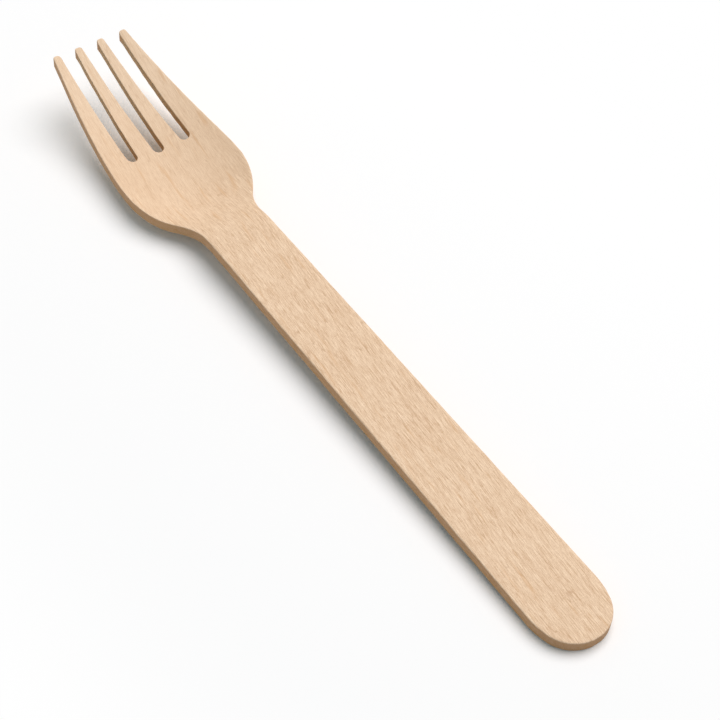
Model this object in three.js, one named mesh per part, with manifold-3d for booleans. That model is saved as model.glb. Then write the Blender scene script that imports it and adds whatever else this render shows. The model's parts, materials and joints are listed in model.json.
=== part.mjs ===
// Disposable wooden fork: one sheet of birch veneer, die-cut to outline and hot-pressed into a dished head.
// Millimetres, +Z up. It lies as it comes to rest on a table: the underside of its bowl and the end of its
// handle touch Z = 0, the tines point along +X, and the origin is under the middle of its length.

import * as THREE from 'three';
import { mergeVertices } from 'three/addons/utils/BufferGeometryUtils.js';
import Module from 'manifold-3d';

const wasm = await Module();
wasm.setup();

// Sheet
const THICKNESS = 2.3;

// Handle, in plan
const LENGTH = 160;
const HANDLE_WIDTH = 14.3;
const NECK_WIDTH = 12.9;
const END_FLANK_INSET = 0.35;
const END_FLANK_RUN = 2.5;

// Head, in plan: distances back from the tips
const HEAD_WIDTH = 25;
const TIPS_WIDTH = 16.5;
const WIDEST_BACK = 35.5;
const SIDE_BEND_BACK = 27.5;
const NECK_RADIUS = 11.9;
const SHOULDER_RADIUS = 18.4;

// Slots and tines, in plan
const SLOT_COUNT = 3;
const SLOT_LENGTH = 27.4;
const SLOT_ROOT_WIDTH = 2.3;
const SLOT_ROOT_PITCH = 5.95;
const TINE_TIP_WIDTH = 1.55;
const TINE_TIP_RADIUS = 0.7;
const TINE_TIP_FLAT = 0.1;
const OUTER_TINE_SHORT = 0.3;

// Pressed form: heights are measured from the flat top of the handle
const PRESS_START_BACK = 56.8;
const BOWL_BACK = 39.6;
const BOWL_DEPTH = 4.2;
const TIP_RISE = 4.1;
const TIP_SLOPE = 0.395;
const DISH_RISE = 2.55;
const TIP_DISH_RISE = 0.55;

// Facets
const FACET_LENGTH = 2;
const FACET_WIDTH = 1.9;
const ARC_DIVISIONS = 6;

// How far the uncut sheet and the die reach past the fork
const TRIM = 2;

// Wood
const WOOD_COLOR = 0xe6c9ab;
const WOOD_ROUGHNESS = 0.75;

// Directions in plan, as angles from +X
const TO_PLUS_Y = Math.PI / 2;
const TO_MINUS_Y = 1.5 * Math.PI;

// Places that follow from the sizes above
const handleHalf = HANDLE_WIDTH / 2;
const endRadius = handleHalf - END_FLANK_INSET;
const endRun = endRadius + END_FLANK_RUN;
const neckHalf = NECK_WIDTH / 2;
const headHalf = HEAD_WIDTH / 2;
const tipsHalf = TIPS_WIDTH / 2;
const widestX = LENGTH - WIDEST_BACK;
const sideBendX = LENGTH - SIDE_BEND_BACK;
const slotRootRadius = SLOT_ROOT_WIDTH / 2;
const slotRootX = LENGTH - SLOT_LENGTH + slotRootRadius;
const slotMouth = (TIPS_WIDTH - (SLOT_COUNT + 1) * TINE_TIP_WIDTH) / SLOT_COUNT;
const slotMouthPitch = TINE_TIP_WIDTH + slotMouth;
const tipRadius = Math.min(TINE_TIP_RADIUS, (TINE_TIP_WIDTH - TINE_TIP_FLAT) / 2);
const pressStartX = LENGTH - PRESS_START_BACK;
const bowlX = LENGTH - BOWL_BACK;

// Handle end: an end arc that meets two flatter flank arcs, which run into the long edges.
function addHandleEnd(shape) {
  const flankReach = (END_FLANK_RUN ** 2 + END_FLANK_INSET ** 2) / (2 * END_FLANK_INSET);
  const flankRadius = endRadius + flankReach;
  const flankDrop = flankRadius - handleHalf;
  const sweep = Math.atan2(END_FLANK_RUN, flankDrop);
  shape.absarc(endRun, -flankDrop, flankRadius, TO_PLUS_Y, TO_PLUS_Y + sweep, false);
  shape.absarc(endRadius, 0, endRadius, TO_PLUS_Y + sweep, TO_MINUS_Y - sweep, false);
  shape.absarc(endRun, flankDrop, flankRadius, TO_MINUS_Y - sweep, TO_MINUS_Y, false);
}

// Neck fillet and shoulder: two arcs that touch, from the handle's edge to the widest place of the head.
function neckAndShoulder() {
  const step = headHalf - neckHalf;
  const reach = NECK_RADIUS + SHOULDER_RADIUS;
  const run = Math.sqrt(2 * step * reach - step * step);
  return {
    neckX: widestX - run,
    neckY: neckHalf + NECK_RADIUS,
    shoulderY: headHalf - SHOULDER_RADIUS,
    sweep: Math.asin(run / reach),
  };
}

// Where a straight edge from a point touches a circle, as an angle round the circle; side is +1 or -1.
function touchAngle(centreX, centreY, radius, pointX, pointY, side) {
  const toPoint = Math.atan2(pointY - centreY, pointX - centreX);
  const distance = Math.hypot(pointX - centreX, pointY - centreY);
  return toPoint + side * Math.acos(radius / distance);
}

// Where a tine ends: the two outer ones stop a little short of the inner ones.
function tipX(tine) {
  const outer = tine === 0 || tine === SLOT_COUNT;
  return outer ? LENGTH - OUTER_TINE_SHORT : LENGTH;
}

// Where a tine's corner rounding begins.
function tipStartX(tine) {
  return tipX(tine) - tipRadius;
}

// One tine tip, with its two corners rounded, from its lower edge to its upper edge.
function addTip(shape, tine) {
  const endX = tipX(tine);
  const startX = tipStartX(tine);
  const lowY = tine * slotMouthPitch - tipsHalf;
  const highY = lowY + TINE_TIP_WIDTH;
  shape.lineTo(startX, lowY);
  shape.quadraticCurveTo(endX, lowY, endX, lowY + tipRadius);
  shape.lineTo(endX, highY - tipRadius);
  shape.quadraticCurveTo(endX, highY, startX, highY);
}

// The slot after a tine: straight edges that widen from a round root to the mouth.
function addSlot(shape, tine) {
  const place = tine - (SLOT_COUNT - 1) / 2;
  const rootY = place * SLOT_ROOT_PITCH;
  const lowMouthY = place * slotMouthPitch - slotMouth / 2;
  const highMouthY = place * slotMouthPitch + slotMouth / 2;
  const lowTouch = touchAngle(slotRootX, rootY, slotRootRadius, tipStartX(tine), lowMouthY, -1);
  const highTouch = touchAngle(slotRootX, rootY, slotRootRadius, tipStartX(tine + 1), highMouthY, 1);
  shape.absarc(slotRootX, rootY, slotRootRadius, lowTouch, highTouch, true);
}

// Plan of the die, anticlockwise: round the handle end, along the -Y side, across the tips and back.
function forkOutline() {
  const { neckX, neckY, shoulderY, sweep } = neckAndShoulder();
  const shape = new THREE.Shape();
  shape.moveTo(endRun, handleHalf);
  addHandleEnd(shape);
  shape.absarc(neckX, -neckY, NECK_RADIUS, TO_PLUS_Y, TO_PLUS_Y - sweep, true);
  shape.absarc(widestX, -shoulderY, SHOULDER_RADIUS, TO_MINUS_Y - sweep, TO_MINUS_Y, false);
  shape.quadraticCurveTo(sideBendX, -headHalf, tipStartX(0), -tipsHalf);
  for (let tine = 0; tine <= SLOT_COUNT; tine += 1) {
    addTip(shape, tine);
    if (tine < SLOT_COUNT) {
      addSlot(shape, tine);
    }
  }
  shape.quadraticCurveTo(sideBendX, headHalf, widestX, headHalf);
  shape.absarc(widestX, shoulderY, SHOULDER_RADIUS, TO_PLUS_Y, TO_PLUS_Y + sweep, false);
  shape.absarc(neckX, neckY, NECK_RADIUS, TO_MINUS_Y + sweep, TO_MINUS_Y, true);
  return shape;
}

// Height of the pressed top surface along the middle: flat handle, down into the bowl, up to the tips.
function spineHeight(x) {
  if (x <= bowlX) {
    return -BOWL_DEPTH * THREE.MathUtils.smoothstep(x, pressStartX, bowlX);
  }
  const rise = BOWL_DEPTH + TIP_RISE;
  const v = (x - bowlX) / BOWL_BACK;
  return -BOWL_DEPTH + rise * v * v * (3 - 2 * v) + TIP_SLOPE * BOWL_BACK * v * v * (v - 1);
}

// The head is dished crosswise too: its long edges stand above its middle, less so at the tips.
function dishCurve(x) {
  const shoulderCurve = DISH_RISE / (headHalf * headHalf);
  const tipCurve = TIP_DISH_RISE / (tipsHalf * tipsHalf);
  const towardTips = THREE.MathUtils.clamp((x - bowlX) / BOWL_BACK, 0, 1);
  const pressed = THREE.MathUtils.smoothstep(x, pressStartX, bowlX);
  return pressed * THREE.MathUtils.lerp(shoulderCurve, tipCurve, towardTips);
}

function pressHeight(x, y) {
  return spineHeight(x) + dishCurve(x) * y * y;
}

function toManifold(geometry, faceID) {
  geometry.deleteAttribute('normal');
  geometry.deleteAttribute('uv');
  const welded = mergeVertices(geometry);
  const triVerts = new Uint32Array(welded.index.array);
  const vertProperties = new Float32Array(welded.attributes.position.array);
  return new wasm.Manifold(new wasm.Mesh({ numProp: 3, vertProperties, triVerts, faceID }));
}

// The uncut sheet: one long bay over the flat handle, then small bays over the part that is pressed.
function veneerSheet() {
  const pressedRun = LENGTH + TRIM - pressStartX;
  const bays = Math.ceil(pressedRun / FACET_LENGTH);
  const rows = Math.ceil((HEAD_WIDTH + 2 * TRIM) / FACET_WIDTH);
  const sheet = new THREE.BoxGeometry(bays + 1, HEAD_WIDTH + 2 * TRIM, THICKNESS, bays + 1, rows, 1);
  sheet.translate((bays + 1) / 2 - 1, 0, THICKNESS / 2);
  const position = sheet.attributes.position;
  for (let i = 0; i < position.count; i += 1) {
    const bay = Math.round(position.getX(i));
    position.setX(i, bay < 0 ? -TRIM : pressStartX + (bay * pressedRun) / bays);
  }
  return sheet;
}

// The flat blank: the sheet cut to outline, with every bay kept as a facet of its own.
function cutBlank() {
  const sheet = veneerSheet();
  const facets = Uint32Array.from({ length: sheet.index.count / 3 }, (_, facet) => facet);
  const die = new THREE.ExtrudeGeometry(forkOutline(), {
    depth: THICKNESS + 2 * TRIM,
    bevelEnabled: false,
    curveSegments: ARC_DIVISIONS,
  });
  die.translate(0, 0, -TRIM);
  const cut = toManifold(sheet, facets).intersect(toManifold(die)).getMesh();
  const blank = new THREE.BufferGeometry();
  blank.setAttribute('position', new THREE.BufferAttribute(cut.vertProperties, cut.numProp));
  blank.setIndex(new THREE.BufferAttribute(cut.triVerts, 1));
  return blank;
}

// The press moves the blank up and down only, so its cut edges stay upright.
function pressedFork() {
  const geometry = cutBlank();
  const position = geometry.attributes.position;
  for (let i = 0; i < position.count; i += 1) {
    const lift = pressHeight(position.getX(i), position.getY(i)) - THICKNESS;
    position.setZ(i, position.getZ(i) + lift);
  }
  geometry.computeVertexNormals();
  return geometry;
}

// Tilt at which the lower edge of the handle end and the underside of the bowl both touch the table.
function restTilt(geometry) {
  const position = geometry.attributes.position;
  let lowestSlope = 0;
  for (let i = 0; i < position.count; i += 1) {
    if (position.getX(i) > pressStartX) {
      lowestSlope = Math.min(lowestSlope, (position.getZ(i) + THICKNESS) / position.getX(i));
    }
  }
  return Math.atan(-lowestSlope);
}

// Lays the fork down, with its middle over the origin.
function layDown(mesh) {
  const tilt = restTilt(mesh.geometry);
  mesh.rotation.y = -tilt;
  mesh.position.set(0, 0, THICKNESS * Math.cos(tilt));
  mesh.updateMatrixWorld();
  const bounds = new THREE.Box3().setFromObject(mesh, true);
  mesh.position.x = -(bounds.min.x + bounds.max.x) / 2;
}

const wood = new THREE.MeshStandardMaterial({
  color: WOOD_COLOR,
  roughness: WOOD_ROUGHNESS,
  metalness: 0,
});

const fork = new THREE.Mesh(pressedFork(), wood);
fork.name = 'fork';
layDown(fork);

const woodenFork = new THREE.Group();
woodenFork.add(fork);

export default woodenFork;
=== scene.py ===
import json
import math

import bpy
import numpy as np
from bpy.props import FloatProperty, FloatVectorProperty, IntProperty, PointerProperty
from mathutils import Matrix, Vector, noise
from mathutils.geometry import delaunay_2d_cdt
from mathutils.kdtree import KDTree


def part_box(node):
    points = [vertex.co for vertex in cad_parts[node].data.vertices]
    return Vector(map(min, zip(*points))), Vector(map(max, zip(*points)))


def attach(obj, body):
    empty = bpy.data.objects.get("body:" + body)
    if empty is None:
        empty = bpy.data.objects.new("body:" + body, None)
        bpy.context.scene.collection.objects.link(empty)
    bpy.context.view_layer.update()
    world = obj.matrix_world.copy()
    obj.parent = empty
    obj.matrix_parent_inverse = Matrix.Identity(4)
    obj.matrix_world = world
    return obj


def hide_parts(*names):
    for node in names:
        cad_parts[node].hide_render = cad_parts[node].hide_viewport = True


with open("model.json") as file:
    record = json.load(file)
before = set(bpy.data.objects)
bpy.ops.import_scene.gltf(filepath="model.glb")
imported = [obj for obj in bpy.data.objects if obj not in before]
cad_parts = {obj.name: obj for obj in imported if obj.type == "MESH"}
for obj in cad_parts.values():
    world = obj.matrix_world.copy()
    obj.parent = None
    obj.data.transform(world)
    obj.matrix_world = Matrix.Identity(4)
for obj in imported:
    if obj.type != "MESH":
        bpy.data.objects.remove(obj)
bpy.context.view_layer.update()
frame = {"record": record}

bl_info = {
    "name": "Wooden Fork",
    "version": (1, 0, 0),
    "blender": (4, 5, 0),
    "location": "View3D > Sidebar > Wooden Fork",
    "description": "Builds a pressed birch fork over its CAD frame, on a plain studio stage",
    "category": "Add Mesh",
}

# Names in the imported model
FORK_NODE = "fork"
FORK_BODY = "root"
WOOD_SLOT = "birch_veneer"
TOP_MOUNT = "handle_top"

# Mesh attributes that the wood reads
BLANK_PLACE = "blank_place"
CUT_EDGE = "cut_edge"
# Band across each rounded edge where a painted highlight lightens the wood
EDGE_HIGHLIGHT_BAND = "edge_highlight_band"
SLOT_DEPTH = "slot_depth"

MM = 0.001
QUARTER_TURN = math.pi / 2
TO_PLUS_Y = QUARTER_TURN
TO_MINUS_Y = 3 * QUARTER_TURN
SAME_POINT = 1e-9
WHITE = (1, 1, 1)

# The floor fades to white along an oval that is longer along the fork than across it
FADE_SHAPE = (0.4, 1, 1)

# Fineness of the mesh
OUTLINE_SPACING = 0.35 * MM
ARC_STEP = math.radians(10)
FACE_SPACING = 0.7 * MM
FACE_MARGIN = 0.42 * MM
EASE_STEPS = 5
WALL_STEPS = 4
SOFTEN_POINTS = 9
ROW_SPACING = FACE_SPACING * math.sqrt(0.75)
INSIDE_ONLY = 1
FILL_EPSILON = 1e-6

# Waves along the cut edge: share, length and seed of each
STRAY_WAVES = ((0.7, 3.1 * MM, 0.5), (0.3, 0.9 * MM, 7.5))
ROUNDING_WAVES = ((0.6, 4.3 * MM, 3.5), (0.4, 1.1 * MM, 5.5))

# Grain patterns: length, width and depth of a grain in millimetres, and the pattern's shift
SWAYS = ((34, 14, 14), 3.7)
FIBRES = ((1.2, 0.11, 0.25), 11.3)
THREADS = ((5.0, 0.12, 0.3), 23.9)
BANDS = ((40, 2.4, 2.0), 31.1)
CLOUDS = ((9, 5, 5), 47.3)
SPECKS = ((0.26, 0.11, 0.2), 67.1)
CREASES = ((9, 0.8, 0.9), 71.9)
BREAKS = ((3.2, 0.9, 0.9), 83.3)
STAINS = ((8, 0.9, 1.2), 91.7)
STREAKS = ((3.0, 0.9, 0.35), 97.3)
BROAD_DETAIL = 2.0
STAIN_DETAIL = 1.0
SWAY_REACH = 1.6
NOISE_MEAN = 0.5

# Where soft steps between patterns begin and end
CREASE_RANGE = (0.0, 0.035)
BREAK_RANGE = (0.42, 0.62)
STAIN_RANGE = (0.62, 0.78)
STREAK_RANGE = (0.5, 0.75)

# Where soft steps along the fork and down its edge begin and end, in millimetres
CALM_RANGE = (98, 128)
TINE_RANGE = (130, 152)
END_RANGE = (1, 10)
# Painted shade: the lower part of the cut edge, near the floor
UNDER_SHADE_RANGE = (1.0, 2.2)

# Where soft steps along a slot begin and end, as shares from its mouth to its root
SLOT_RANGE = (0.0, 0.08)
ROOT_BROWN_RANGE = (0.55, 1.0)

# How much each pattern changes the tone of the faces
MEAN_TONE = 0.54
FIBRE_TONE = 0.86
THREAD_TONE = 0.88
SPECK_TONE = 0.7
BAND_TONE = 0.16
CLOUD_TONE = 0.18
# Painted light: how much paler the tines are painted, for the shade their rising tops get
TINE_PAINTED_LIGHT = 0.16
HEAD_CALM = 0.5

# How strongly each colour is mixed in
PORE_SHARE = 0.42
STAIN_SHARE = 0.4
# Painted shade: how much browner the bottom of the cut edge is painted near the floor
UNDER_SHADE_SHARE = 0.45
END_SHARE = 0.5
FACE_SHARE = 0.25
STREAK_SHARE = 0.35
# Painted highlight: how much of the pale edge colour is laid over the rounded edges
EDGE_HIGHLIGHT_SHARE = 0.12

# Sockets of a Mix node for colours
MIX_SHARE = 0
MIX_FIRST = 6
MIX_SECOND = 7
MIX_RESULT = 2

# Shine and relief
FIBRE_SHINE = 0.25
CUT_DULLNESS = 0.1
THREAD_RELIEF = 0.5
PORE_RELIEF = 0.4
BUMP_STRENGTH = 0.15
SPECULAR_LEVEL = 0.3


def from_srgb(red, green, blue):
    """A colour written in screen values, 0 to 255, as the linear values that shaders use."""
    def linear(level):
        share = level / 255
        return share / 12.92 if share <= 0.04045 else ((share + 0.055) / 1.055) ** 2.4
    return (linear(red), linear(green), linear(blue))


def size_property(label, description, millimetres):
    """A length that a user can change."""
    return FloatProperty(name=label, description=description, default=millimetres * MM,
                         min=0, precision=5, unit="LENGTH")


def angle_property(label, description, degrees):
    """An angle that a user can change."""
    return FloatProperty(name=label, description=description, default=math.radians(degrees),
                         unit="ROTATION", subtype="ANGLE")


def share_property(label, description, share):
    """A plain factor that a user can change."""
    return FloatProperty(name=label, description=description, default=share, precision=3, subtype="FACTOR")


def colour_property(label, description, red, green, blue):
    """A colour that a user can change, given in screen values."""
    return FloatVectorProperty(name=label, description=description, default=from_srgb(red, green, blue),
                               min=0, max=1, size=3, subtype="COLOR")


class ForkSizes(bpy.types.PropertyGroup):
    """Sizes of the fork, as its die and its press make it."""

    length: size_property("Length", "From the handle end to the tips of the inner tines", 160)
    thickness: size_property("Thickness", "Thickness of the veneer sheet", 2.3)
    handle_width: size_property("Handle width", "Width of the handle near its end", 14.3)
    neck_width: size_property("Neck width", "Width of the handle where the head begins", 12.9)
    end_flank_inset: size_property("End flank inset", "How much smaller the end arc is than half the handle",
                                   0.35)
    end_flank_run: size_property("End flank run", "How far the flank arcs run into the long edges", 2.5)
    head_width: size_property("Head width", "Greatest width of the head", 25)
    tips_width: size_property("Tips width", "Width across the four tips", 16.5)
    widest_back: size_property("Widest place", "Distance of the widest place back from the tips", 35.5)
    side_bend_back: size_property("Side bend", "Distance of the head side's bend back from the tips", 27.5)
    neck_radius: size_property("Neck radius", "Radius of the hollow where handle and head meet", 11.9)
    shoulder_radius: size_property("Shoulder radius", "Radius of the head's shoulder", 18.4)
    slot_count: IntProperty(name="Slots", description="Number of slots between the tines", default=3, min=1)
    slot_length: size_property("Slot length", "Distance of the slot roots back from the tips", 27.4)
    slot_root_width: size_property("Slot root width", "Width of a slot at its round root", 2.3)
    slot_root_pitch: size_property("Slot root pitch", "Distance between neighbouring slot roots", 5.95)
    tine_tip_width: size_property("Tine tip width", "Width of a tine at its tip", 1.55)
    tine_tip_radius: size_property("Tine tip radius", "Rounding of a tine's corners in plan", 0.7)
    tine_tip_flat: size_property("Tine tip flat", "Straight part that is always left on a tip", 0.1)
    outer_tine_short: size_property("Outer tine short", "How much shorter the two outer tines are", 0.3)
    press_start_back: size_property("Press start", "Distance of the first bend back from the tips", 56.8)
    bowl_back: size_property("Bowl", "Distance of the bowl's lowest place back from the tips", 39.6)
    bowl_depth: size_property("Bowl depth", "Depth of the bowl below the handle's top", 4.2)
    tip_rise: size_property("Tip rise", "Height of the tips above the handle's top", 4.1)
    tip_slope: FloatProperty(name="Tip slope", description="Rise per length at the tips", default=0.395)
    dish_rise: size_property("Dish rise", "How far the head's long edges stand above its middle", 2.55)
    tip_dish_rise: size_property("Tip dish rise", "The same at the tips", 0.55)
    edge_radius: size_property("Edge radius", "Rounding of the sanded edges", 0.24)
    slot_top_radius: size_property("Slot top radius", "Rounding of the slots' upper edges", 0.14)
    slot_under_radius: size_property("Slot under radius", "Rounding of the slots' lower edges", 0.75)
    edge_uneven: share_property("Edge unevenness", "How much the rounding changes along the edge", 0.35)
    edge_wander: size_property("Edge wander", "How far the cut line strays to either side", 0.05)
    edge_swell: size_property("Edge swell", "How far the sanded wood stands proud of the cut line", 0.04)


class BirchFinish(bpy.types.PropertyGroup):
    """Colours and grain of the bare birch."""

    pale_wood: colour_property("Pale wood", "Lightest fibres", 250, 223, 193)
    deep_wood: colour_property("Deep wood", "Darkest fibres", 204, 165, 127)
    pore_wood: colour_property("Pores", "Short open pores", 182, 138, 98)
    stained_wood: colour_property("Stained wood", "Longer warm streaks", 216, 170, 122)
    cut_wood: colour_property("Cut wood", "Die-cut edge of the sheet", 195, 142, 93)
    end_wood: colour_property("End wood", "Cut edge round the handle end", 158, 114, 74)
    # Painted light: the cut edge in the slots is painted paler than the outer cut edge, standing in for more
    # light reaching the slots
    slot_painted_light: colour_property("Slot wood", "Cut edge inside the slots", 193, 158, 112)
    # Painted highlight: a pale colour laid on the middle of the rounded edges in place of light catching
    # them
    edge_highlight_paint: colour_property("Sanded wood", "Sanded edges, paler than the faces", 255, 238, 212)
    # Browner cut edge: it browns the streaks and the slot roots, and paints shade down the bottom of the cut
    # edge near the floor
    brown_edge_and_shade: colour_property("Burnished wood", "Cut edge near the slot roots", 188, 132, 58)
    grain_lean: angle_property("Grain lean", "Turn of the grain against the handle, seen from above", -3.6)
    roughness: share_property("Roughness", "Mean roughness of the sanded wood", 0.68)
    fibre_depth: size_property("Fibre depth", "Depth of the grain that can be felt", 0.03)


class StudioSettings(bpy.types.PropertyGroup):
    """Floor, light and camera."""

    floor_colour: colour_property("Floor", "Plain floor, as it throws light back", 236, 240, 244)
    floor_size: size_property("Floor size", "Side of the floor", 6000)
    fade_start: size_property("Fade start", "Distance across the fork where the floor begins to fade", 42)
    fade_end: size_property("Fade end", "Distance across the fork where the floor is plain white", 90)
    key_level: share_property("Key level", "Light that the soft box puts on a level surface", 0.735)
    key_colour: colour_property("Key colour", "Colour of the soft box", 255, 248, 246)
    key_tilt: angle_property("Key tilt", "Angle of the soft box away from straight up", 25)
    key_spread: angle_property("Key spread", "Half angle that the soft box fills", 28)
    light_bearing: angle_property("Light bearing", "Direction of the soft box in plan, from +X", -75)
    light_distance: size_property("Light distance", "Distance of the soft box", 2500)
    sky_level: share_property("Sky level", "Light of the room all round", 0.31)
    sky_colour: colour_property("Sky colour", "Colour of the room's light", 232, 250, 255)
    camera_azimuth: angle_property("Camera azimuth", "Bearing of the camera round the fork", 232.2452)
    camera_elevation: angle_property("Camera elevation", "Height of the camera above the horizon", 49.5678)
    camera_roll: angle_property("Camera roll", "Turn of the camera about its own axis", 3.0586)
    camera_distance: size_property("Camera distance", "From the camera to the point it looks at", 326.0215)
    camera_lens: FloatProperty(name="Camera lens", description="Focal length", default=90.4214,
                               unit="CAMERA")
    aim_along: size_property("Aim along", "How far towards the handle end the camera looks", 10.1515)
    aim_across: size_property("Aim across", "How far towards the far side the camera looks", 3.2424)


def between(start, end, share):
    """The value or array at a share of the way from start to end."""
    return start + (end - start) * share


def smooth(value, low, high):
    """A soft step from 0 at low to 1 at high."""
    share = np.clip((value - low) / (high - low), 0, 1)
    return share * share * (3 - 2 * share)


def on_circle(centre, radius, angle):
    """The point of a circle at an angle from +X."""
    return (centre[0] + radius * math.cos(angle), centre[1] + radius * math.sin(angle))


def touch_angle(centre, radius, point, side):
    """Where a straight edge from a point touches a circle, as an angle round it; side is +1 or -1."""
    to_point = math.atan2(point[1] - centre[1], point[0] - centre[0])
    return to_point + side * math.acos(radius / math.dist(centre, point))


class OutlinePen:
    """Draws an outline in plan as points at an even spacing, and notes which of them line a slot."""

    def __init__(self, start):
        self.points = [start]
        self.slot_marks = [False]
        self.in_slot = False

    def add(self, point):
        self.points.append(point)
        self.slot_marks.append(self.in_slot)

    def line_to(self, end):
        start = self.points[-1]
        gap = math.dist(start, end)
        if gap < SAME_POINT:
            return
        count = math.ceil(gap / OUTLINE_SPACING)
        for step in range(1, count + 1):
            share = step / count
            self.add((between(start[0], end[0], share), between(start[1], end[1], share)))

    def arc(self, centre, radius, start, end):
        self.line_to(on_circle(centre, radius, start))
        count = math.ceil(abs(end - start) / min(OUTLINE_SPACING / radius, ARC_STEP))
        for step in range(1, count + 1):
            self.add(on_circle(centre, radius, between(start, end, step / count)))

    def bend_to(self, control, end):
        start = self.points[-1]
        legs = math.dist(start, control) + math.dist(control, end)
        count = max(math.ceil(legs / OUTLINE_SPACING), math.ceil(QUARTER_TURN / ARC_STEP))
        for step in range(1, count + 1):
            share = step / count
            first = [between(a, b, share) for a, b in zip(start, control)]
            second = [between(a, b, share) for a, b in zip(control, end)]
            self.add(tuple(between(a, b, share) for a, b in zip(first, second)))

    def close(self):
        self.line_to(self.points[0])
        self.points.pop()
        self.slot_marks.pop()


class ForkForm:
    """The fork's plan and its pressed heights, worked out from its sizes."""

    def __init__(self, sizes):
        self.sizes = sizes
        self.handle_half = sizes.handle_width / 2
        self.neck_half = sizes.neck_width / 2
        self.head_half = sizes.head_width / 2
        self.tips_half = sizes.tips_width / 2
        self.end_radius = self.handle_half - sizes.end_flank_inset
        self.end_run = self.end_radius + sizes.end_flank_run
        self.widest_x = sizes.length - sizes.widest_back
        self.side_bend_x = sizes.length - sizes.side_bend_back
        self.root_radius = sizes.slot_root_width / 2
        self.root_x = sizes.length - sizes.slot_length + self.root_radius
        tines = sizes.slot_count + 1
        self.mouth = (sizes.tips_width - tines * sizes.tine_tip_width) / sizes.slot_count
        self.mouth_pitch = sizes.tine_tip_width + self.mouth
        self.tip_radius = min(sizes.tine_tip_radius, (sizes.tine_tip_width - sizes.tine_tip_flat) / 2)
        self.press_x = sizes.length - sizes.press_start_back
        self.bowl_x = sizes.length - sizes.bowl_back

    def tip_x(self, tine):
        """Where a tine ends: the two outer ones stop a little short."""
        outer = tine in (0, self.sizes.slot_count)
        return self.sizes.length - (self.sizes.outer_tine_short if outer else 0)

    def tip_start_x(self, tine):
        """Where a tine's corner rounding begins."""
        return self.tip_x(tine) - self.tip_radius

    def draw_handle_end(self, pen):
        """An end arc between two flatter flank arcs, which run into the long edges."""
        inset = self.sizes.end_flank_inset
        run = self.sizes.end_flank_run
        flank_radius = self.end_radius + (run * run + inset * inset) / (2 * inset)
        flank_drop = flank_radius - self.handle_half
        sweep = math.atan2(run, flank_drop)
        pen.arc((self.end_run, -flank_drop), flank_radius, TO_PLUS_Y, TO_PLUS_Y + sweep)
        pen.arc((self.end_radius, 0), self.end_radius, TO_PLUS_Y + sweep, TO_MINUS_Y - sweep)
        pen.arc((self.end_run, flank_drop), flank_radius, TO_MINUS_Y - sweep, TO_MINUS_Y)

    def draw_tip(self, pen, tine):
        """One tine tip with its two corners rounded."""
        end_x = self.tip_x(tine)
        start_x = self.tip_start_x(tine)
        low_y = tine * self.mouth_pitch - self.tips_half
        high_y = low_y + self.sizes.tine_tip_width
        pen.line_to((start_x, low_y))
        pen.in_slot = False
        pen.bend_to((end_x, low_y), (end_x, low_y + self.tip_radius))
        pen.line_to((end_x, high_y - self.tip_radius))
        pen.bend_to((end_x, high_y), (start_x, high_y))

    def draw_slot(self, pen, tine):
        """The slot after a tine: straight edges that widen from a round root to the mouth."""
        place = tine - (self.sizes.slot_count - 1) / 2
        root = (self.root_x, place * self.sizes.slot_root_pitch)
        low_mouth = (self.tip_start_x(tine), place * self.mouth_pitch - self.mouth / 2)
        high_mouth = (self.tip_start_x(tine + 1), place * self.mouth_pitch + self.mouth / 2)
        low_touch = touch_angle(root, self.root_radius, low_mouth, -1)
        high_touch = touch_angle(root, self.root_radius, high_mouth, 1)
        pen.in_slot = True
        pen.arc(root, self.root_radius, low_touch, high_touch - 2 * math.pi)

    def outline(self):
        """The die's plan, anticlockwise from the +Y side: handle end, -Y side, tips and back."""
        sizes = self.sizes
        step = self.head_half - self.neck_half
        reach = sizes.neck_radius + sizes.shoulder_radius
        run = math.sqrt(2 * step * reach - step * step)
        sweep = math.asin(run / reach)
        neck_x = self.widest_x - run
        neck_y = self.neck_half + sizes.neck_radius
        shoulder_y = self.head_half - sizes.shoulder_radius
        pen = OutlinePen((self.end_run, self.handle_half))
        self.draw_handle_end(pen)
        pen.arc((neck_x, -neck_y), sizes.neck_radius, TO_PLUS_Y, TO_PLUS_Y - sweep)
        pen.arc((self.widest_x, -shoulder_y), sizes.shoulder_radius, TO_MINUS_Y - sweep, TO_MINUS_Y)
        pen.bend_to((self.side_bend_x, -self.head_half), (self.tip_start_x(0), -self.tips_half))
        for tine in range(sizes.slot_count + 1):
            self.draw_tip(pen, tine)
            if tine < sizes.slot_count:
                self.draw_slot(pen, tine)
        pen.bend_to((self.side_bend_x, self.head_half), (self.widest_x, self.head_half))
        pen.arc((self.widest_x, shoulder_y), sizes.shoulder_radius, TO_PLUS_Y, TO_PLUS_Y + sweep)
        pen.arc((neck_x, neck_y), sizes.neck_radius, TO_MINUS_Y + sweep, TO_MINUS_Y)
        pen.close()
        return np.array(pen.points), np.array(pen.slot_marks, float)

    def height(self, x, y):
        """Height of the pressed top above the handle's flat top."""
        sizes = self.sizes
        pressed = smooth(x, self.press_x, self.bowl_x)
        share = np.clip((x - self.bowl_x) / sizes.bowl_back, 0, 1)
        rise = (sizes.bowl_depth + sizes.tip_rise) * share * share * (3 - 2 * share)
        flick = sizes.tip_slope * sizes.bowl_back * share * share * (share - 1)
        shoulder_curve = sizes.dish_rise / self.head_half ** 2
        tip_curve = sizes.tip_dish_rise / self.tips_half ** 2
        dish = pressed * between(shoulder_curve, tip_curve, share)
        return rise + flick - sizes.bowl_depth * pressed + dish * y * y


def edge_noise(points, waves):
    """Soft random values along an outline, about -1 to 1, the same each time."""
    total = np.zeros(len(points))
    for share, length, seed in waves:
        total += share * np.array([noise.noise(Vector((x / length, y / length, seed))) for x, y in points])
    return total


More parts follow.
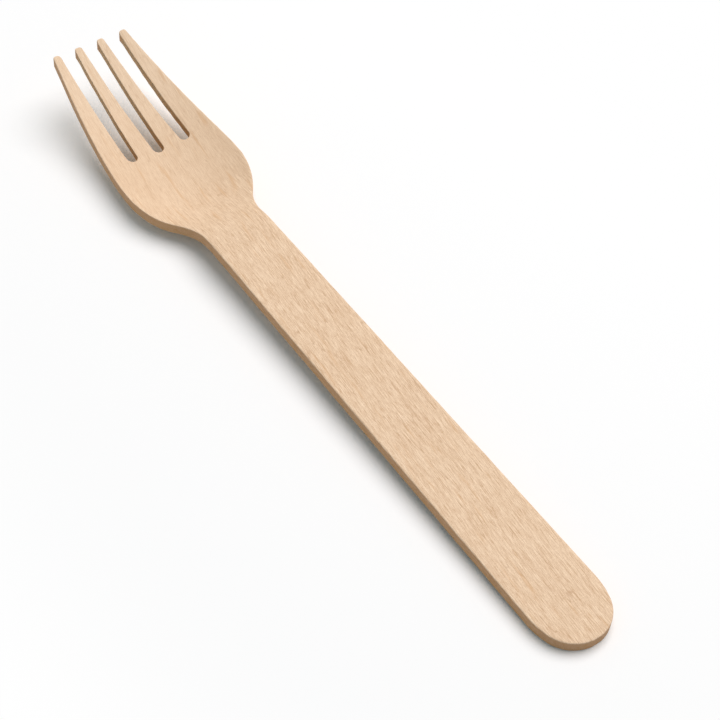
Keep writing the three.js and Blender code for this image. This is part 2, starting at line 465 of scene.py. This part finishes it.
def softened(marks):
    """Marks along an outline with their steps smoothed."""
    window = np.hanning(SOFTEN_POINTS + 2)[1:-1]
    wrapped = np.pad(marks, SOFTEN_POINTS, mode="wrap")
    return np.convolve(wrapped, window / window.sum(), "same")[SOFTEN_POINTS:-SOFTEN_POINTS]


def inward_normals(points):
    """Directions into an anticlockwise outline, at its points."""
    ahead = np.roll(points, -1, axis=0) - points
    ahead /= np.linalg.norm(ahead, axis=1)[:, None]
    along = ahead + np.roll(ahead, 1, axis=0)
    along /= np.linalg.norm(along, axis=1)[:, None]
    return np.stack([-along[:, 1], along[:, 0]], axis=1)


def inside(points, outline):
    """Which points lie inside a closed outline."""
    result = np.zeros(len(points), bool)
    for (ax, ay), (bx, by) in zip(outline, np.roll(outline, -1, axis=0)):
        if ay == by:
            continue
        crosses = (ay > points[:, 1]) != (by > points[:, 1])
        reach = ax + (points[:, 1] - ay) * (bx - ax) / (by - ay)
        result ^= crosses & (points[:, 0] < reach)
    return result


def face_points(outline):
    """Staggered points over the inside of an outline, clear of its edge."""
    low = outline.min(axis=0)
    high = outline.max(axis=0)
    rows = np.arange(low[1], high[1], ROW_SPACING)
    columns = np.arange(low[0], high[0], FACE_SPACING)
    grid_x, grid_y = np.meshgrid(columns, rows)
    grid_x[1::2] += FACE_SPACING / 2
    grid = np.stack([grid_x.ravel(), grid_y.ravel()], axis=1)
    grid = grid[inside(grid, outline)]
    tree = KDTree(len(outline))
    for index, (x, y) in enumerate(outline):
        tree.insert((x, y, 0), index)
    tree.balance()
    clear = [tree.find((x, y, 0))[2] > FACE_MARGIN for x, y in grid]
    return grid[np.array(clear)]


def fill_face(outline, points):
    """Triangles over an outline and the points inside it, as indices into the two in a row."""
    corners = np.concatenate([outline, points]) / MM
    loop = list(range(len(outline)))
    places, _, faces, origins, _, _ = delaunay_2d_cdt([Vector(corner) for corner in corners], [], [loop],
                                                      INSIDE_ONLY, FILL_EPSILON)
    if len(places) != len(corners):
        raise RuntimeError("the fork's face could not be filled: its outline crosses itself")
    source = [origin[0] for origin in origins]
    return [tuple(source[corner] for corner in face) for face in faces]


class Blank:
    """The cut sheet before pressing: its places in plan and in depth, its faces and its edge marks."""

    def __init__(self, form):
        self.form = form
        self.places = []
        self.marks = {CUT_EDGE: [], EDGE_HIGHLIGHT_BAND: [], SLOT_DEPTH: []}
        self.faces = []
        self.count = 0
        self.build()

    def add(self, plan, depth, cut, highlight_rim, slot_depth):
        """Adds points and returns the index of the first."""
        first = self.count
        self.places.append(np.column_stack([plan, np.broadcast_to(depth, len(plan))]))
        for mark, value in ((CUT_EDGE, cut), (EDGE_HIGHLIGHT_BAND, highlight_rim), (SLOT_DEPTH, slot_depth)):
            self.marks[mark].append(np.broadcast_to(value, len(plan)).astype(float))
        self.count += len(plan)
        return first

    def build(self):
        sizes = self.form.sizes
        cut_line, slot_marks = self.form.outline()
        slot_marks = softened(slot_marks)
        inward = inward_normals(cut_line)
        stray = edge_noise(cut_line, STRAY_WAVES)
        extent = cut_line.min(axis=0), cut_line.max(axis=0)
        cut_line = cut_line + inward * (sizes.edge_wander * stray - sizes.edge_swell)[:, None]
        cut_line = np.clip(cut_line, *extent)
        uneven = edge_noise(cut_line, ROUNDING_WAVES)
        swing = 1 + sizes.edge_uneven * uneven
        top_radius = between(sizes.edge_radius, sizes.slot_top_radius, slot_marks) * swing
        under_radius = between(sizes.edge_radius, sizes.slot_under_radius, slot_marks) * swing
        tip_share = (sizes.length - cut_line[:, 0]) / sizes.slot_length
        slot_depth = slot_marks * np.clip(tip_share, 0, 1)
        rings = []
        for step in range(EASE_STEPS + 1):
            turn = QUARTER_TURN * step / EASE_STEPS
            plan = cut_line + inward * (top_radius * (1 - math.sin(turn)))[:, None]
            rings.append((plan, top_radius * (1 - math.cos(turn)), step / EASE_STEPS))
        for step in range(1, WALL_STEPS):
            depth = between(top_radius, sizes.thickness - under_radius, step / WALL_STEPS)
            rings.append((cut_line, depth, 1))
        for step in range(EASE_STEPS, -1, -1):
            turn = QUARTER_TURN * step / EASE_STEPS
            plan = cut_line + inward * (under_radius * (1 - math.sin(turn)))[:, None]
            depth = sizes.thickness - under_radius * (1 - math.cos(turn))
            rings.append((plan, depth, step / EASE_STEPS))
        starts = []
        for plan, depth, turned in rings:
            # Band across each rounding, peaking at its middle, where the wood paints its edge highlight
            highlight_rim = math.sin(math.pi * turned)
            starts.append(self.add(plan, depth, turned * turned, highlight_rim, slot_depth))
        self.join_rings(starts, len(cut_line))
        self.fill(rings[0][0], 0, starts[0], False)
        self.fill(rings[-1][0], sizes.thickness, starts[-1], True)

    def join_rings(self, starts, count):
        """Quads between each ring and the next."""
        for upper, lower in zip(starts, starts[1:]):
            for here in range(count):
                ahead = (here + 1) % count
                self.faces.append((upper + here, lower + here, lower + ahead, upper + ahead))

    def fill(self, loop, depth, loop_start, facing_down):
        """The top or the underside, inside its ring."""
        points = face_points(loop)
        triangles = np.array(fill_face(loop, points))
        point_start = self.add(points, depth, 0, 0, 0)
        triangles += np.where(triangles < len(loop), loop_start, point_start - len(loop))
        if facing_down:
            triangles = triangles[:, ::-1]
        self.faces.extend(map(tuple, triangles.tolist()))

    def pressed(self):
        """The places after pressing, in the fork's own frame: z is 0 on the handle's top."""
        places = np.concatenate(self.places)
        heights = self.form.height(places[:, 0], places[:, 1])
        return np.column_stack([places[:, 0], places[:, 1], heights - places[:, 2]])


def laid_down(points):
    """Moves points from the fork's own frame to where the CAD model lies, by its handle's top face."""
    mount = next(m for m in frame["record"]["mounts"] if m["name"] == TOP_MOUNT)
    lean, _, upright = mount["axis"]
    low_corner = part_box(FORK_NODE)[0]
    start_x = low_corner.x
    along = (mount["pos_m"][0] - start_x) / upright
    start_z = mount["pos_m"][2] + along * lean
    x = points[:, 0] * upright + points[:, 2] * lean + start_x
    z = points[:, 2] * upright - points[:, 0] * lean + start_z
    z += max(0, low_corner.z - z.min())
    return np.column_stack([x, points[:, 1], z])


def fork_mesh(sizes):
    """The fork's mesh, with the marks that its wood reads."""
    blank = Blank(ForkForm(sizes))
    mesh = bpy.data.meshes.new(FORK_NODE + "_veneer")
    mesh.from_pydata(laid_down(blank.pressed()).tolist(), [], blank.faces)
    if mesh.validate():
        raise RuntimeError("the fork's mesh has faults")
    mesh.polygons.foreach_set("use_smooth", np.ones(len(mesh.polygons), bool))
    places = mesh.attributes.new(BLANK_PLACE, "FLOAT_VECTOR", "POINT")
    places.data.foreach_set("vector", np.concatenate(blank.places).ravel())
    for name, values in blank.marks.items():
        mark = mesh.attributes.new(name, "FLOAT", "POINT")
        mark.data.foreach_set("value", np.concatenate(values))
    mesh.update()
    return mesh


class Field:
    """What one output socket gives over a surface; sums and products of it add Math nodes."""

    def __init__(self, graph, socket):
        self.graph = graph
        self.socket = socket

    def math(self, operation, *terms):
        return self.graph.node("ShaderNodeMath", {"operation": operation}, dict(enumerate(terms)))

    def __add__(self, other):
        return self.math("ADD", self, other)

    __radd__ = __add__

    def __sub__(self, other):
        return self.math("SUBTRACT", self, other)

    def __rsub__(self, other):
        return self.math("SUBTRACT", other, self)

    def __mul__(self, other):
        return self.math("MULTIPLY", self, other)

    __rmul__ = __mul__


class ShaderGraph:
    """The node graph of a material or of the world."""

    def __init__(self, owner):
        owner.use_nodes = True
        self.tree = owner.node_tree
        self.tree.nodes.clear()

    def node(self, kind, settings=None, inputs=None, output=0):
        """Adds a node, sets it up, then sets or links its sockets; gives one of its outputs."""
        made = self.tree.nodes.new(kind)
        for name, value in (settings or {}).items():
            setattr(made, name, value)
        for socket, value in (inputs or {}).items():
            if isinstance(value, Field):
                self.tree.links.new(value.socket, made.inputs[socket])
            else:
                made.inputs[socket].default_value = value
        return Field(self, made.outputs[output]) if made.outputs else None

    def mark(self, name, output="Fac"):
        """A mesh attribute."""
        return self.node("ShaderNodeAttribute", {"attribute_name": name}, output=output)

    def scaled(self, place, factors, shift=(0, 0, 0)):
        """A place stretched along its axes, then moved."""
        return self.node("ShaderNodeVectorMath", {"operation": "MULTIPLY_ADD"},
                         {0: place, 1: factors, 2: shift})

    def noise(self, place, grain, shift, detail=0.0):
        """Random values about 0.5, with grains of a given length, width and depth in millimetres."""
        length, width, depth = grain
        stretched = self.scaled(place, (1 / length, 1 / width, 1 / depth), (shift, shift, shift))
        return self.node("ShaderNodeTexNoise", {"noise_dimensions": "3D"},
                         {"Vector": stretched, "Scale": 1.0, "Detail": detail})

    def swing(self, place, pattern, detail=0.0):
        """Random values about 0, in one of the grain patterns."""
        return self.noise(place, *pattern, detail) - NOISE_MEAN

    def ramp(self, value, low, high):
        """A soft step from 0 at low to 1 at high."""
        return self.node("ShaderNodeMapRange", {"interpolation_type": "SMOOTHSTEP"},
                         {"Value": value, "From Min": low, "From Max": high})

    def shown(self):
        """1 for rays that show the background: seen straight, mirrored or through glass."""
        straight, mirrored, through = (self.node("ShaderNodeLightPath", output="Is %s Ray" % kind)
                                       for kind in ("Camera", "Glossy", "Transmission"))
        return straight.math("MAXIMUM", straight, mirrored.math("MAXIMUM", mirrored, through))

    def mix(self, first, second, share):
        """A colour between two."""
        colours = [c if isinstance(c, Field) else (*c, 1.0) for c in (first, second)]
        return self.node("ShaderNodeMix", {"data_type": "RGBA"},
                         {MIX_SHARE: share, MIX_FIRST: colours[0], MIX_SECOND: colours[1]}, MIX_RESULT)


def birch_material(finish):
    """Bare birch veneer: short pale and dark fibres, pores, soft bands, and browner cut edges; with painted
    light: paler tines, paler slot walls, a pale edge highlight, and painted shade down the bottom of the cut
    edge.
    """
    material = bpy.data.materials.new(WOOD_SLOT)
    graph = ShaderGraph(material)
    blank = graph.mark(BLANK_PLACE, "Vector")
    cut = graph.mark(CUT_EDGE)
    highlight_rim = graph.mark(EDGE_HIGHLIGHT_BAND)
    slot_depth = graph.mark(SLOT_DEPTH)

    # Millimetres along, across and down through the grain, which sways a little
    to_mm = (1 / MM, 1 / MM, 1 / MM)
    straight = graph.node("ShaderNodeMapping", {"vector_type": "POINT"},
                          {"Vector": blank, "Rotation": (0, 0, -finish.grain_lean), "Scale": to_mm})
    sway = SWAY_REACH * graph.swing(straight, SWAYS)
    sideways = graph.node("ShaderNodeCombineXYZ", None, {"Y": sway})
    grain = graph.node("ShaderNodeVectorMath", {"operation": "ADD"}, {0: straight, 1: sideways})
    along = graph.node("ShaderNodeSeparateXYZ", None, {0: straight}, "X")
    depth = graph.node("ShaderNodeSeparateXYZ", None, {0: straight}, "Z")

    fibres = graph.swing(grain, FIBRES)
    threads = graph.swing(grain, THREADS)
    specks = graph.swing(grain, SPECKS)
    bands = graph.swing(grain, BANDS, BROAD_DETAIL)
    clouds = graph.swing(grain, CLOUDS, BROAD_DETAIL)
    creases = graph.swing(grain, CREASES)
    lines = 1 - graph.ramp(creases.math("ABSOLUTE", creases), *CREASE_RANGE)
    pores = lines * graph.ramp(graph.noise(grain, *BREAKS), *BREAK_RANGE)
    stains = graph.ramp(graph.noise(grain, *STAINS, STAIN_DETAIL), *STAIN_RANGE)
    streaks = graph.ramp(graph.noise(grain, *STREAKS, BROAD_DETAIL), *STREAK_RANGE)

    # The faces are calmer on the head, and the tines are painted paler as painted light, to make up for the
    # shade on their rising tops
    contrast = 1 - HEAD_CALM * graph.ramp(along, *CALM_RANGE)
    fine = FIBRE_TONE * fibres + THREAD_TONE * threads + SPECK_TONE * specks
    # Painted light: the ramp along the tines paints them paler
    broad = BAND_TONE * bands + CLOUD_TONE * clouds + TINE_PAINTED_LIGHT * graph.ramp(along, *TINE_RANGE)
    face = graph.mix(finish.deep_wood, finish.pale_wood, MEAN_TONE + contrast * fine + broad)
    face = graph.mix(face, finish.pore_wood, PORE_SHARE * contrast * pores)
    face = graph.mix(face, finish.stained_wood, STAIN_SHARE * stains)

    # The cut edges are browner below, as painted shade and warm bounce near the floor; they are also browner
    # round the handle end and near the slot roots, and paler in the slots as painted light
    # Painted shade: the bottom of the cut edge is painted browner near the floor
    edge = graph.mix(finish.cut_wood, finish.brown_edge_and_shade, UNDER_SHADE_SHARE * graph.ramp(depth, *UNDER_SHADE_RANGE))
    edge = graph.mix(edge, finish.end_wood, END_SHARE - END_SHARE * graph.ramp(along, *END_RANGE))
    # Painted light: the slot walls take the paler slot colour
    edge = graph.mix(edge, finish.slot_painted_light, graph.ramp(slot_depth, *SLOT_RANGE))
    # Browner near the slot roots
    edge = graph.mix(edge, finish.brown_edge_and_shade, graph.ramp(slot_depth, *ROOT_BROWN_RANGE))
    edge = graph.mix(edge, face, FACE_SHARE)
    edge = graph.mix(edge, finish.brown_edge_and_shade, STREAK_SHARE * streaks)
    # Painted highlight: the middle of each rounded edge is painted paler
    face = graph.mix(face, finish.edge_highlight_paint, EDGE_HIGHLIGHT_SHARE * highlight_rim)
    colour = graph.mix(face, edge, cut)

    roughness = finish.roughness - FIBRE_SHINE * fibres + CUT_DULLNESS * cut
    relief = fibres + THREAD_RELIEF * threads - PORE_RELIEF * pores
    normal = graph.node("ShaderNodeBump", None,
                        {"Strength": BUMP_STRENGTH, "Distance": finish.fibre_depth, "Height": relief})
    surface = graph.node("ShaderNodeBsdfPrincipled", None,
                         {"Base Color": colour, "Roughness": roughness, "Normal": normal,
                          "Specular IOR Level": SPECULAR_LEVEL})
    graph.node("ShaderNodeOutputMaterial", None, {"Surface": surface})
    return material


def floor_material(studio):
    """The pale floor: it keeps the fork's shadow, fades to plain white, and is clear from below."""
    material = bpy.data.materials.new("studio_floor")
    graph = ShaderGraph(material)
    seen = graph.shown()
    place = graph.node("ShaderNodeNewGeometry", output="Position")
    squeezed = graph.scaled(place, FADE_SHAPE)
    away = graph.node("ShaderNodeVectorMath", {"operation": "LENGTH"}, {0: squeezed}, "Value")
    share = seen * graph.ramp(away, studio.fade_start, studio.fade_end)
    lit = graph.node("ShaderNodeBsdfDiffuse", None, {"Color": (*studio.floor_colour, 1)})
    white = graph.node("ShaderNodeBsdfDiffuse", None, {"Color": (*WHITE, 1)})
    floor = graph.node("ShaderNodeMixShader", None, {0: seen, 1: lit, 2: white})
    plain = graph.node("ShaderNodeEmission", None, {"Color": (*WHITE, 1), "Strength": 1})
    upper = graph.node("ShaderNodeMixShader", None, {0: share, 1: floor, 2: plain})
    below = graph.node("ShaderNodeNewGeometry", output="Backfacing")
    clear = graph.node("ShaderNodeBsdfTransparent")
    surface = graph.node("ShaderNodeMixShader", None, {0: below, 1: upper, 2: clear})
    graph.node("ShaderNodeOutputMaterial", None, {"Surface": surface})
    return material


def add_floor(studio):
    """A large level floor under the fork."""
    half = studio.floor_size / 2
    corners = [(-half, -half, 0), (half, -half, 0), (half, half, 0), (-half, half, 0)]
    mesh = bpy.data.meshes.new("studio_floor")
    mesh.from_pydata(corners, [], [(0, 1, 2, 3)])
    mesh.materials.append(floor_material(studio))
    floor = bpy.data.objects.new("studio_floor", mesh)
    bpy.context.scene.collection.objects.link(floor)


def add_soft_box(studio):
    """The round soft box; its power gives a level surface the stated light."""
    tilt = studio.key_tilt
    bearing = studio.light_bearing
    distance = studio.light_distance
    aside = math.sin(tilt)
    place = Vector((aside * math.cos(bearing), aside * math.sin(bearing), math.cos(tilt))) * distance
    radius = math.tan(studio.key_spread) * distance
    lamp = bpy.data.lights.new("soft_box", "AREA")
    lamp.shape = "DISK"
    lamp.size = 2 * radius
    lamp.color = studio.key_colour
    brightness = studio.key_level / (math.sin(studio.key_spread) ** 2 * math.cos(tilt))
    lamp.energy = brightness * math.pi * math.pi * radius ** 2
    box = bpy.data.objects.new("soft_box", lamp)
    box.location = place
    box.rotation_euler = place.to_track_quat("Z", "Y").to_euler()
    box.visible_camera = False
    bpy.context.scene.collection.objects.link(box)


def set_room_light(studio):
    """Even light from all round, which the camera sees as plain white."""
    world = bpy.data.worlds.new("studio_room")
    bpy.context.scene.world = world
    graph = ShaderGraph(world)
    room = graph.node("ShaderNodeBackground", None,
                      {"Color": (*studio.sky_colour, 1), "Strength": studio.sky_level})
    plain = graph.node("ShaderNodeBackground", None, {"Color": (*WHITE, 1), "Strength": 1})
    light = graph.node("ShaderNodeMixShader", None, {0: graph.shown(), 1: room, 2: plain})
    graph.node("ShaderNodeOutputWorld", None, {"Surface": light})


def add_camera(studio):
    """The camera, turned round the point on the floor that it looks at."""
    azimuth = studio.camera_azimuth
    elevation = studio.camera_elevation
    back = Vector((math.sin(azimuth) * math.cos(elevation), -math.cos(azimuth) * math.cos(elevation),
                   math.sin(elevation)))
    level = Vector((math.cos(azimuth), math.sin(azimuth), 0))
    rise = back.cross(level)
    right = level * math.cos(studio.camera_roll) + rise * math.sin(studio.camera_roll)
    up = back.cross(right)
    aim = Vector((-studio.aim_along, -studio.aim_across, 0))
    turn = Matrix((right, up, back)).transposed()
    lens = bpy.data.cameras.new("studio_camera")
    lens.lens = studio.camera_lens
    camera = bpy.data.objects.new("studio_camera", lens)
    camera.matrix_world = Matrix.LocRotScale(aim + back * studio.camera_distance, turn, None)
    bpy.context.scene.collection.objects.link(camera)
    bpy.context.scene.camera = camera


class WOODENFORK_OT_build_fork(bpy.types.Operator):
    """Builds the fork's fine mesh and its birch over the CAD fork."""

    bl_idname = "wooden_fork.build_fork"
    bl_label = "Build Fork"

    def execute(self, context):
        mesh = fork_mesh(context.scene.fork_sizes)
        mesh.materials.append(birch_material(context.scene.fork_birch))
        fork = bpy.data.objects.new("pressed_fork", mesh)
        context.scene.collection.objects.link(fork)
        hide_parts(FORK_NODE)
        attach(fork, FORK_BODY)
        return {"FINISHED"}


class WOODENFORK_OT_build_stage(bpy.types.Operator):
    """Builds the floor, the light and the camera."""

    bl_idname = "wooden_fork.build_stage"
    bl_label = "Build Stage"

    def execute(self, context):
        studio = context.scene.fork_studio
        add_floor(studio)
        add_soft_box(studio)
        set_room_light(studio)
        add_camera(studio)
        context.scene.view_settings.view_transform = "Standard"
        return {"FINISHED"}


class WOODENFORK_PT_panel(bpy.types.Panel):
    """Lists the fork's operators and its settings."""

    bl_label = "Wooden Fork"
    bl_idname = "WOODENFORK_PT_panel"
    bl_space_type = "VIEW_3D"
    bl_region_type = "UI"
    bl_category = "Wooden Fork"

    def draw(self, context):
        layout = self.layout
        layout.operator(WOODENFORK_OT_build_fork.bl_idname)
        layout.operator(WOODENFORK_OT_build_stage.bl_idname)
        for group in (context.scene.fork_sizes, context.scene.fork_birch, context.scene.fork_studio):
            column = layout.box().column()
            for name in group.__annotations__:
                column.prop(group, name)


CLASSES = (
    ForkSizes,
    BirchFinish,
    StudioSettings,
    WOODENFORK_OT_build_fork,
    WOODENFORK_OT_build_stage,
    WOODENFORK_PT_panel,
)


def register():
    for cls in CLASSES:
        bpy.utils.register_class(cls)
    bpy.types.Scene.fork_sizes = PointerProperty(type=ForkSizes)
    bpy.types.Scene.fork_birch = PointerProperty(type=BirchFinish)
    bpy.types.Scene.fork_studio = PointerProperty(type=StudioSettings)


def unregister():
    del bpy.types.Scene.fork_studio
    del bpy.types.Scene.fork_birch
    del bpy.types.Scene.fork_sizes
    for cls in reversed(CLASSES):
        bpy.utils.unregister_class(cls)


def main():
    register()
    bpy.ops.wooden_fork.build_fork()
    bpy.ops.wooden_fork.build_stage()


if __name__ == "__main__":
    main()
